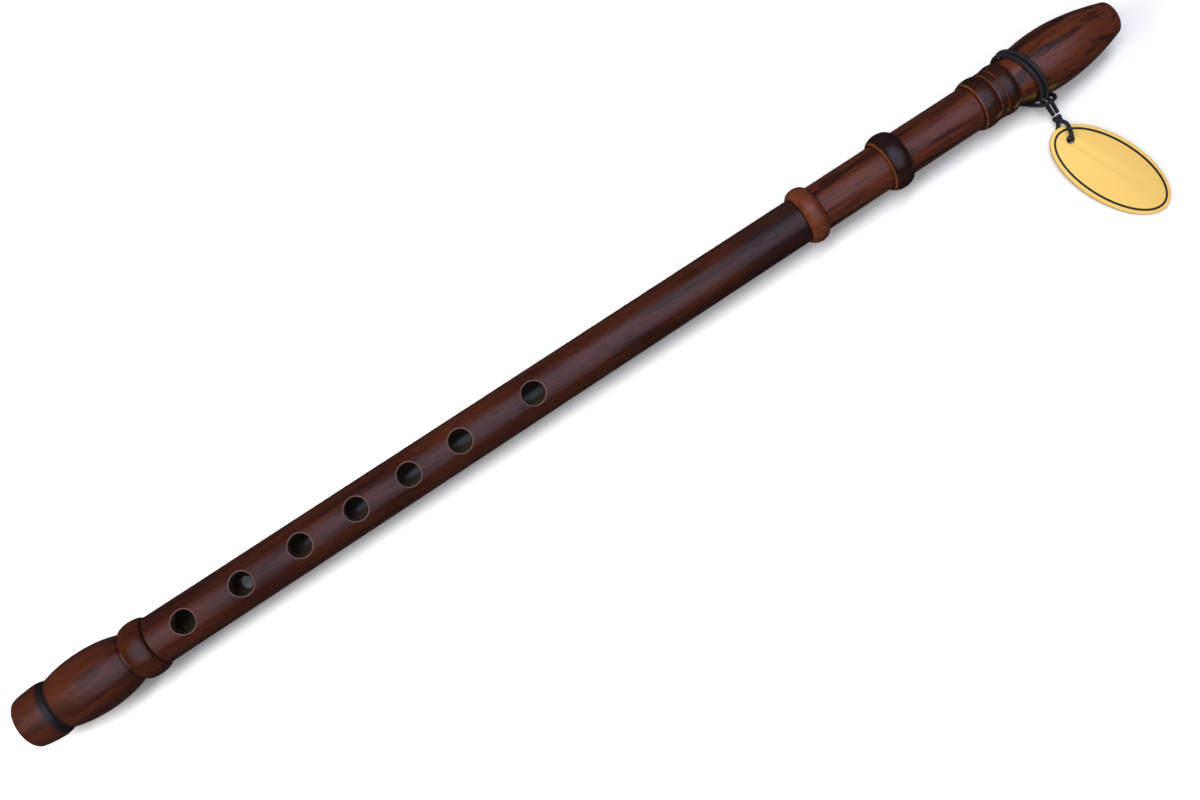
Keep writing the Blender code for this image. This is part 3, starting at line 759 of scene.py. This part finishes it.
class FLUTE_OT_foot(FluteOperator, bpy.types.Operator):
    """Make the foot: the end ring and the bulb"""

    bl_idname = "flute.foot"
    bl_label = "Foot"

    def execute(self, context):
        self.end_ring()
        self.bulb()
        return {"FINISHED"}

    def end_ring(self):
        """Make the end ring: round at its face, nearly straight further up."""
        end = BULB_START - FIT
        recess, recess_radius = BULB_START - SPIGOT_LENGTH - FIT, SPIGOT_RADIUS + FIT
        dome, corner, taper = 0.0012, 0.0020, 0.0010
        round_steps, flat_steps = 24, 8
        outline = [(EASED_EDGE, BORE_RADIUS), (0.0, BORE_RADIUS + EASED_EDGE)]
        for i in range(round_steps):
            share = (i / round_steps) ** 2
            drop = dome * (1 - share) ** 1.5 + corner * (1 - share) ** 16
            outline.append((END_RING_CREST * share, END_RING_RADIUS - drop))
        for i in range(flat_steps + 1):
            share = i / flat_steps
            station = END_RING_CREST + share * (end - END_RING_CREST)
            outline.append((station, END_RING_RADIUS - taper * share ** 2))
        outline += [(end, recess_radius), (recess, recess_radius), (recess, BORE_RADIUS)]
        ring = lathe("foot_end_ring_turned", outline)
        material = wood("dull_end_wood", seed=3.1, figure=0.5, tone=1.0, red=0.1, roughness=0.42,
                        zones=FOOT_GROOVE)
        dress(ring, "foot", material, "foot_end_ring")

    def bulb(self):
        """Make the bulb with its spigot and the socket of the lower joint."""
        spigot = BULB_START - SPIGOT_LENGTH
        bulb_end = BULB_START + FOOT_BULB_LENGTH
        seam_start, seam_end = bulb_end + 0.0001, station_of("foot_ring", 0) - FIT
        socket_floor = FOOT_END - TENON_LENGTH
        outline = [(spigot, BORE_RADIUS), (spigot, SPIGOT_RADIUS), (BULB_START, SPIGOT_RADIUS)]
        outline += swell(BULB_START, BULB_START + FOOT_BULB_CREST, bulb_end,
                         drops=(0.00225, 0.00285), powers=(2.2, 2.2), steps=20)
        outline += [(seam_start, SEAM_RADIUS), (seam_end, SEAM_RADIUS), (seam_end, SLEEVE_RADIUS),
                    (FOOT_END, SLEEVE_RADIUS), (FOOT_END, SOCKET_RADIUS),
                    (socket_floor, SOCKET_RADIUS), (socket_floor, BORE_RADIUS)]
        bulb = lathe("foot_bulb_turned", outline)
        material = wood("foot_bulb_wood", seed=1.7, figure=0.6, tone=1.05, red=0.25, zones=FOOT_GROOVE)
        dress(bulb, "foot", material, "foot_bulb")


class FLUTE_OT_rings(FluteOperator, bpy.types.Operator):
    """Make the foot ring, the joint ring, the dark ring and the double bead ferrule"""

    bl_idname = "flute.rings"
    bl_label = "Rings"

    def execute(self, context):
        start = station_of("foot_ring", 0)
        base = 0.01035
        points = bead(start, width=0.0098, base_radius=base, height=0.00168, lip_radius=base, steps=32)
        ring = turned_ring("foot_ring_turned", start, FOOT_END, points, RING_BORE)
        material = wood("foot_ring_wood", seed=5.3, figure=0.5, tone=0.95, red=0.3, roughness=0.2)
        dress(ring, "foot", material, "foot_ring")

        width = 0.0080
        points = bead(HEAD_START, width, base_radius=0.0096, height=0.0026, lip_radius=0.0101,
                      steps=32)
        ring = turned_ring("joint_ring_turned", HEAD_START, HEAD_START + width, points, RING_BORE)
        material = wood("joint_ring_wood", seed=2.2, figure=0.45, tone=1.7, red=0.9)
        dress(ring, "head", material, "joint_ring")

        start, width = station_of("dark_ring", 0), 0.0094
        points = bead(start, width, base_radius=0.00975, height=0.00265, lip_radius=0.0104, steps=32)
        ring = turned_ring("dark_ring_turned", start, start + width, points, bore=0.0101)
        # Orange lines at the ring's fillet and edge: painted highlight
        lines = ((start + 0.0003, 0.0006), (start + width, 0.0003))
        material = wood("dark_ring_wood", seed=4.4, figure=0.5, tone=0.8, red=0.0, lines=lines,
                        blackness=0.6, roughness=0.18)
        dress(ring, "head", material, "dark_ring")
        self.ferrule()
        return {"FINISHED"}

    def ferrule(self):
        """Make the ferrule: two beads with a flat band between them."""
        start = station_of("double_bead_ferrule", 0)
        band = start + 0.0078
        high = band + 0.0033
        notch, edge, flat = 0.0102, 0.01052, 0.01062
        shape = {"base_radius": 0.00995, "height": 0.00117, "lip_radius": notch, "steps": 24}
        points = bead(start, width=0.0076, **shape)
        points += [(band - 0.0001, notch), (band, edge), (band + 0.0002, flat), (band + 0.0030, flat),
                   (band + 0.0031, edge), (band + 0.0032, 0.0103)]
        points += bead(high, width=0.0058, **shape) + [(HEAD_END, notch)]
        ring = turned_ring("double_bead_ferrule_turned", start, HEAD_END, points, RING_BORE)
        # Orange lines at the beads' fillets and the band's lip: painted highlight
        lines = ((start + 0.0004, 0.0006), (band + 0.0001, 0.0003), (high, 0.0006))
        material = wood("bead_wood", seed=6.1, figure=0.7, tone=0.9, red=0.15, lines=lines,
                        blackness=0.35, roughness=0.22)
        dress(ring, "head", material, "double_bead_ferrule")


class FLUTE_OT_body_tube(FluteOperator, bpy.types.Operator):
    """Make the body tube with its tenons and its nine holes"""

    bl_idname = "flute.body_tube"
    bl_label = "Body Tube"

    def execute(self, context):
        settings = context.scene.flute
        lower, upper = tenon(BODY_START, -1)[::-1], tenon(BODY_END, 1)
        outline = [(lower[0][0], BORE_RADIUS)] + lower
        outline += [(BODY_START, BODY_FOOT_RADIUS - BODY_BEVEL),
                    (BODY_START + BODY_BEVEL, BODY_FOOT_RADIUS),
                    (BODY_END - BODY_BEVEL, BODY_HEAD_RADIUS),
                    (BODY_END, BODY_HEAD_RADIUS - BODY_BEVEL)]
        outline += upper + [(upper[-1][0], BORE_RADIUS)]
        tube = lathe("body_tube_turned", outline)

        front, back = 1, -1
        holes = [(distance, front, settings.finger_hole) for distance in FINGER_HOLES]
        holes += [(THUMB_HOLE, back, settings.thumb_hole), (VENT_HOLE, back, settings.vent_hole)]
        cutters = []
        for distance, side, diameter in holes:
            share = distance / (BODY_END - BODY_START)
            surface = BODY_FOOT_RADIUS + (BODY_HEAD_RADIUS - BODY_FOOT_RADIUS) * share
            cutters.append(hole_cutter(BODY_START + distance, side, diameter, surface))
        cut_holes(tube, cutters)

        # Painted highlight on the rim of each front hole
        rim_highlights = [(BODY_START + distance, settings.finger_hole / 2) for distance in FINGER_HOLES]
        # Painted shade on the stretch below the joint ring
        material = wood("body_wood_stain", seed=0.4, figure=0.7, tone=0.92, red=0.2, fine=1.3,
                        rim_highlights=rim_highlights, zones=PAINTED_SHADE_STRETCH)
        dress(tube, "body", material, "body_tube")
        return {"FINISHED"}


class FLUTE_OT_head_tube(FluteOperator, bpy.types.Operator):
    """Make the head tube with its two sockets"""

    bl_idname = "flute.head_tube"
    bl_label = "Head Tube"

    def execute(self, context):
        lower = station_of("joint_ring", 1) + FIT
        upper = station_of("double_bead_ferrule", 0) - FIT
        top_floor, low_floor = HEAD_END - TENON_LENGTH, HEAD_START + TENON_LENGTH
        outline = [(HEAD_START, SOCKET_RADIUS), (HEAD_START, SLEEVE_RADIUS), (lower, SLEEVE_RADIUS),
                   (lower, HEAD_LOW_RADIUS), (upper, HEAD_HIGH_RADIUS), (upper, SLEEVE_RADIUS),
                   (HEAD_END, SLEEVE_RADIUS), (HEAD_END, SOCKET_RADIUS), (top_floor, SOCKET_RADIUS),
                   (top_floor, BORE_RADIUS), (low_floor, BORE_RADIUS), (low_floor, SOCKET_RADIUS)]
        tube = lathe("head_tube_turned", outline)
        material = wood("head_wood_stain", seed=7.9, figure=1.15, tone=1.5, red=0.35)
        dress(tube, "head", material, "head_tube")
        return {"FINISHED"}


class FLUTE_OT_mouthpiece(FluteOperator, bpy.types.Operator):
    """Make the egg-shaped mouthpiece with its thin rim"""

    bl_idname = "flute.mouthpiece"
    bl_label = "Mouthpiece"

    def execute(self, context):
        lower = tenon(MOUTH_START, -1)[::-1]
        rounding, steps = MOUTH_RIM_ROUNDING, 5
        rim = FLUTE_LENGTH - rounding
        outline = [(lower[0][0], BORE_RADIUS)] + lower
        outline += swell(MOUTH_START, MOUTH_START + MOUTH_CREST, rim,
                         drops=(MOUTH_NECK_DROP, MOUTH_RIM_DROP), powers=(2.0, 1.8), steps=28)
        rim_radius = outline[-1][1]
        for i in range(1, steps + 1):
            angle = pi / 2 * i / steps
            outline.append((rim + rounding * sin(angle), rim_radius - rounding * (1 - cos(angle))))
        outline += [(FLUTE_LENGTH, BORE_RADIUS + EASED_EDGE), (FLUTE_LENGTH - EASED_EDGE, BORE_RADIUS)]
        piece = lathe("mouthpiece_turned", outline)
        material = wood("mouth_wood_stain", seed=9.6, figure=1.2, tone=1.55, red=0.45)
        dress(piece, "mouthpiece", material, "mouthpiece")
        return {"FINISHED"}


class FLUTE_OT_corks(FluteOperator, bpy.types.Operator):
    """Give the three tenon corks their cork"""

    bl_idname = "flute.corks"
    bl_label = "Tenon Corks"

    def execute(self, context):
        cork = cork_material()
        for name in ("lower_tenon_cork", "upper_tenon_cork", "mouthpiece_tenon_cork"):
            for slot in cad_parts[name].material_slots:
                slot.material = cork
        return {"FINISHED"}


class FLUTE_OT_name_tag(FluteOperator, bpy.types.Operator):
    """Make the oval tag, bare but for its border line"""

    bl_idname = "flute.name_tag"
    bl_label = "Name Tag"

    def execute(self, context):
        settings = context.scene.flute
        half_length, half_width = settings.tag_length / 2, settings.tag_width / 2
        curve = bpy.data.curves.new("tag_outline", "CURVE")
        curve.dimensions = "2D"
        curve.fill_mode = "BOTH"
        curve.bevel_depth = TAG_ROUNDING
        curve.bevel_resolution = 3
        curve.extrude = TAG_THICKNESS / 2 - TAG_ROUNDING
        curve.offset = -TAG_ROUNDING
        for centre, a, b, sides in (((0, 0), half_length, half_width, 160),
                                    (TAG_HOLE_PLACE, TAG_HOLE_RADIUS, TAG_HOLE_RADIUS, 48)):
            spline = curve.splines.new("POLY")
            spline.points.add(sides - 1)
            for i, point in enumerate(spline.points):
                angle = 2 * pi * i / sides
                point.co = (centre[0] + a * cos(angle), centre[1] + b * sin(angle), 0, 1)
            spline.use_cyclic_u = True
        pattern = bpy.data.objects.new("tag_outline", curve)
        context.scene.collection.objects.link(pattern)
        depsgraph = context.evaluated_depsgraph_get()
        plate = bpy.data.meshes.new_from_object(pattern.evaluated_get(depsgraph))
        bpy.data.objects.remove(pattern, do_unlink=True)
        work = bmesh.new()
        work.from_mesh(plate)
        bmesh.ops.remove_doubles(work, verts=work.verts, dist=0.000005)
        mesh = new_mesh("name_tag_plate", work)
        mesh.set_sharp_from_angle(angle=radians(35))
        tag = new_piece("gold_name_tag", mesh)
        tag.location = from_millimetres(TAG_CENTRE)
        tag.rotation_euler = TAG_TILT
        dress(tag, "tag", gold_material(half_length, half_width), "name_tag")
        return {"FINISHED"}


class FLUTE_OT_stage(FluteOperator, bpy.types.Operator):
    """Add the pale floor and the soft studio light"""

    bl_idname = "flute.stage"
    bl_label = "Stage"

    def execute(self, context):
        self.floor(context)
        self.sky(context)
        for name, spot, length, width, power, colour in LAMPS:
            lamp = bpy.data.lights.new(name, "AREA")
            lamp.shape = "RECTANGLE"
            lamp.size = length
            lamp.size_y = width
            lamp.energy = power
            lamp.color = colour
            light = bpy.data.objects.new(name, lamp)
            context.scene.collection.objects.link(light)
            light.location = spot
            light.visible_glossy = False
            light.rotation_euler = (-Vector(spot)).to_track_quat("-Z", "Y").to_euler()
        context.scene.view_settings.view_transform = "Standard"
        return {"FINISHED"}

    def floor(self, context):
        """Add the floor, which the polished wood doesn't mirror."""
        bpy.ops.mesh.primitive_plane_add(size=FLOOR_SIZE, location=(0, 0, -FLOOR_DROP))
        floor = context.object
        floor.name = "floor"
        made, _, shader = new_material("pale_floor")
        shader.inputs["Base Color"].default_value = (0.86, 0.86, 0.87, 1.0)
        shader.inputs["Roughness"].default_value = 0.9
        shader.inputs["Specular IOR Level"].default_value = 0.1
        floor.data.materials.append(made)
        floor.visible_glossy = False

    def sky(self, context):
        """Add the sky: bright overhead, warm towards the foot and cool towards the head."""
        world = bpy.data.worlds.new("studio")
        world.use_nodes = True
        context.scene.world = world
        graph = Graph(world.node_tree)
        lengthwise, _, height = graph.split(graph.out(graph.node("ShaderNodeTexCoord"), "Generated"))
        overhead = graph.mix(graph.step(lengthwise, -0.80, -0.20), (1.05, 0.72, 0.55), (0.66, 0.80, 1.15))
        dome = graph.step(height, 0.55, 1.0)
        mirrored = graph.mix(dome, (0.02, 0.02, 0.023), overhead)
        soft = graph.mix(dome, (0.05, 0.05, 0.05), (0.80, 0.80, 0.80))
        rays = graph.node("ShaderNodeLightPath")
        room = graph.mix(graph.out(rays, "Is Diffuse Ray"), mirrored, soft)
        room = graph.mix(graph.out(rays, "Is Camera Ray"), room, (0.95, 0.95, 0.95))
        background = world.node_tree.nodes["Background"]
        connect(graph, room, background, "Color")
        background.inputs["Strength"].default_value = 1.0


OPERATORS = (FLUTE_OT_camera, FLUTE_OT_cord, FLUTE_OT_foot, FLUTE_OT_rings, FLUTE_OT_body_tube,
             FLUTE_OT_head_tube, FLUTE_OT_mouthpiece, FLUTE_OT_corks, FLUTE_OT_name_tag, FLUTE_OT_stage)


class FLUTE_PT_panel(bpy.types.Panel):
    """The flute's buttons in the sidebar"""

    bl_idname = "FLUTE_PT_panel"
    bl_label = "Wooden Flute"
    bl_space_type = "VIEW_3D"
    bl_region_type = "UI"
    bl_category = "Flute"

    def draw(self, context):
        for name in FluteSettings.__annotations__:
            self.layout.prop(context.scene.flute, name)
        for operator in OPERATORS:
            self.layout.operator(operator.bl_idname)


CLASSES = (FluteSettings, *OPERATORS, FLUTE_PT_panel)


def register():
    """Register the classes and the settings."""
    for item in CLASSES:
        bpy.utils.register_class(item)
    bpy.types.Scene.flute = PointerProperty(type=FluteSettings)


def unregister():
    """Remove what register added."""
    del bpy.types.Scene.flute
    for item in reversed(CLASSES):
        bpy.utils.unregister_class(item)


def main():
    """Dress the flute: each operator in turn."""
    register()
    for operator in OPERATORS:
        group, name = operator.bl_idname.split(".")
        getattr(getattr(bpy.ops, group), name)()


if __name__ == "__main__":
    main()
